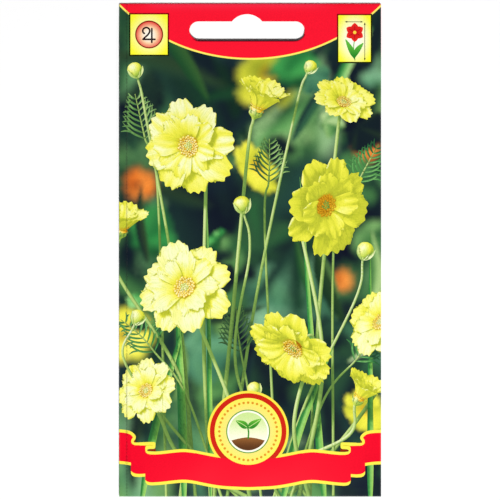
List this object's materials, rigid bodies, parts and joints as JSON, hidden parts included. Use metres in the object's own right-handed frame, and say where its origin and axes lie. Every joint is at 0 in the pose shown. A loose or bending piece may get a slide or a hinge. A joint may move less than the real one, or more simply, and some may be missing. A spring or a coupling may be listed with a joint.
{
  "type": "seed packet",
  "caption": "Flat glued paper seed packet with a header, a euro hang slot punched through it, a lapped back seam and a folded bottom flap, holding a film sachet of loose seed.",
  "frame": {"origin": "centre of the packet's outline, on the surface that its back rests on", "axes": "+X across the packet to the right of its printed front, +Y up the packet to the header with the hang slot, +Z out of the printed front"},
  "size_m": [0.085, 0.16, 0.0027],
  "materials": {
    "printed_paper": "satin",
    "sachet_film": "satin",
    "seed_coat": "gloss"
  },
  "bodies": {
    "root": {"envelope": "printed_paper", "sachet_back_film": "sachet_film", "sachet_front_film": "sachet_film", "seed_01": "seed_coat", "seed_02": "seed_coat", "seed_03": "seed_coat", "seed_04": "seed_coat", "seed_05": "seed_coat", "seed_06": "seed_coat", "seed_07": "seed_coat", "seed_08": "seed_coat", "seed_09": "seed_coat", "seed_10": "seed_coat", "seed_11": "seed_coat", "seed_12": "seed_coat", "seed_13": "seed_coat", "seed_14": "seed_coat", "seed_15": "seed_coat", "seed_16": "seed_coat", "seed_17": "seed_coat", "seed_18": "seed_coat", "seed_19": "seed_coat", "seed_20": "seed_coat", "seed_21": "seed_coat", "seed_22": "seed_coat", "seed_23": "seed_coat", "seed_24": "seed_coat", "seed_25": "seed_coat", "seed_26": "seed_coat", "seed_27": "seed_coat", "seed_28": "seed_coat", "seed_29": "seed_coat", "seed_30": "seed_coat", "seed_31": "seed_coat", "seed_32": "seed_coat", "seed_33": "seed_coat", "seed_34": "seed_coat", "seed_35": "seed_coat", "seed_36": "seed_coat", "seed_37": "seed_coat", "seed_38": "seed_coat", "seed_39": "seed_coat", "seed_40": "seed_coat", "seed_41": "seed_coat", "seed_42": "seed_coat", "seed_43": "seed_coat", "seed_44": "seed_coat", "seed_45": "seed_coat", "seed_46": "seed_coat", "seed_47": "seed_coat", "seed_48": "seed_coat"}
  },
  "joints": []
}
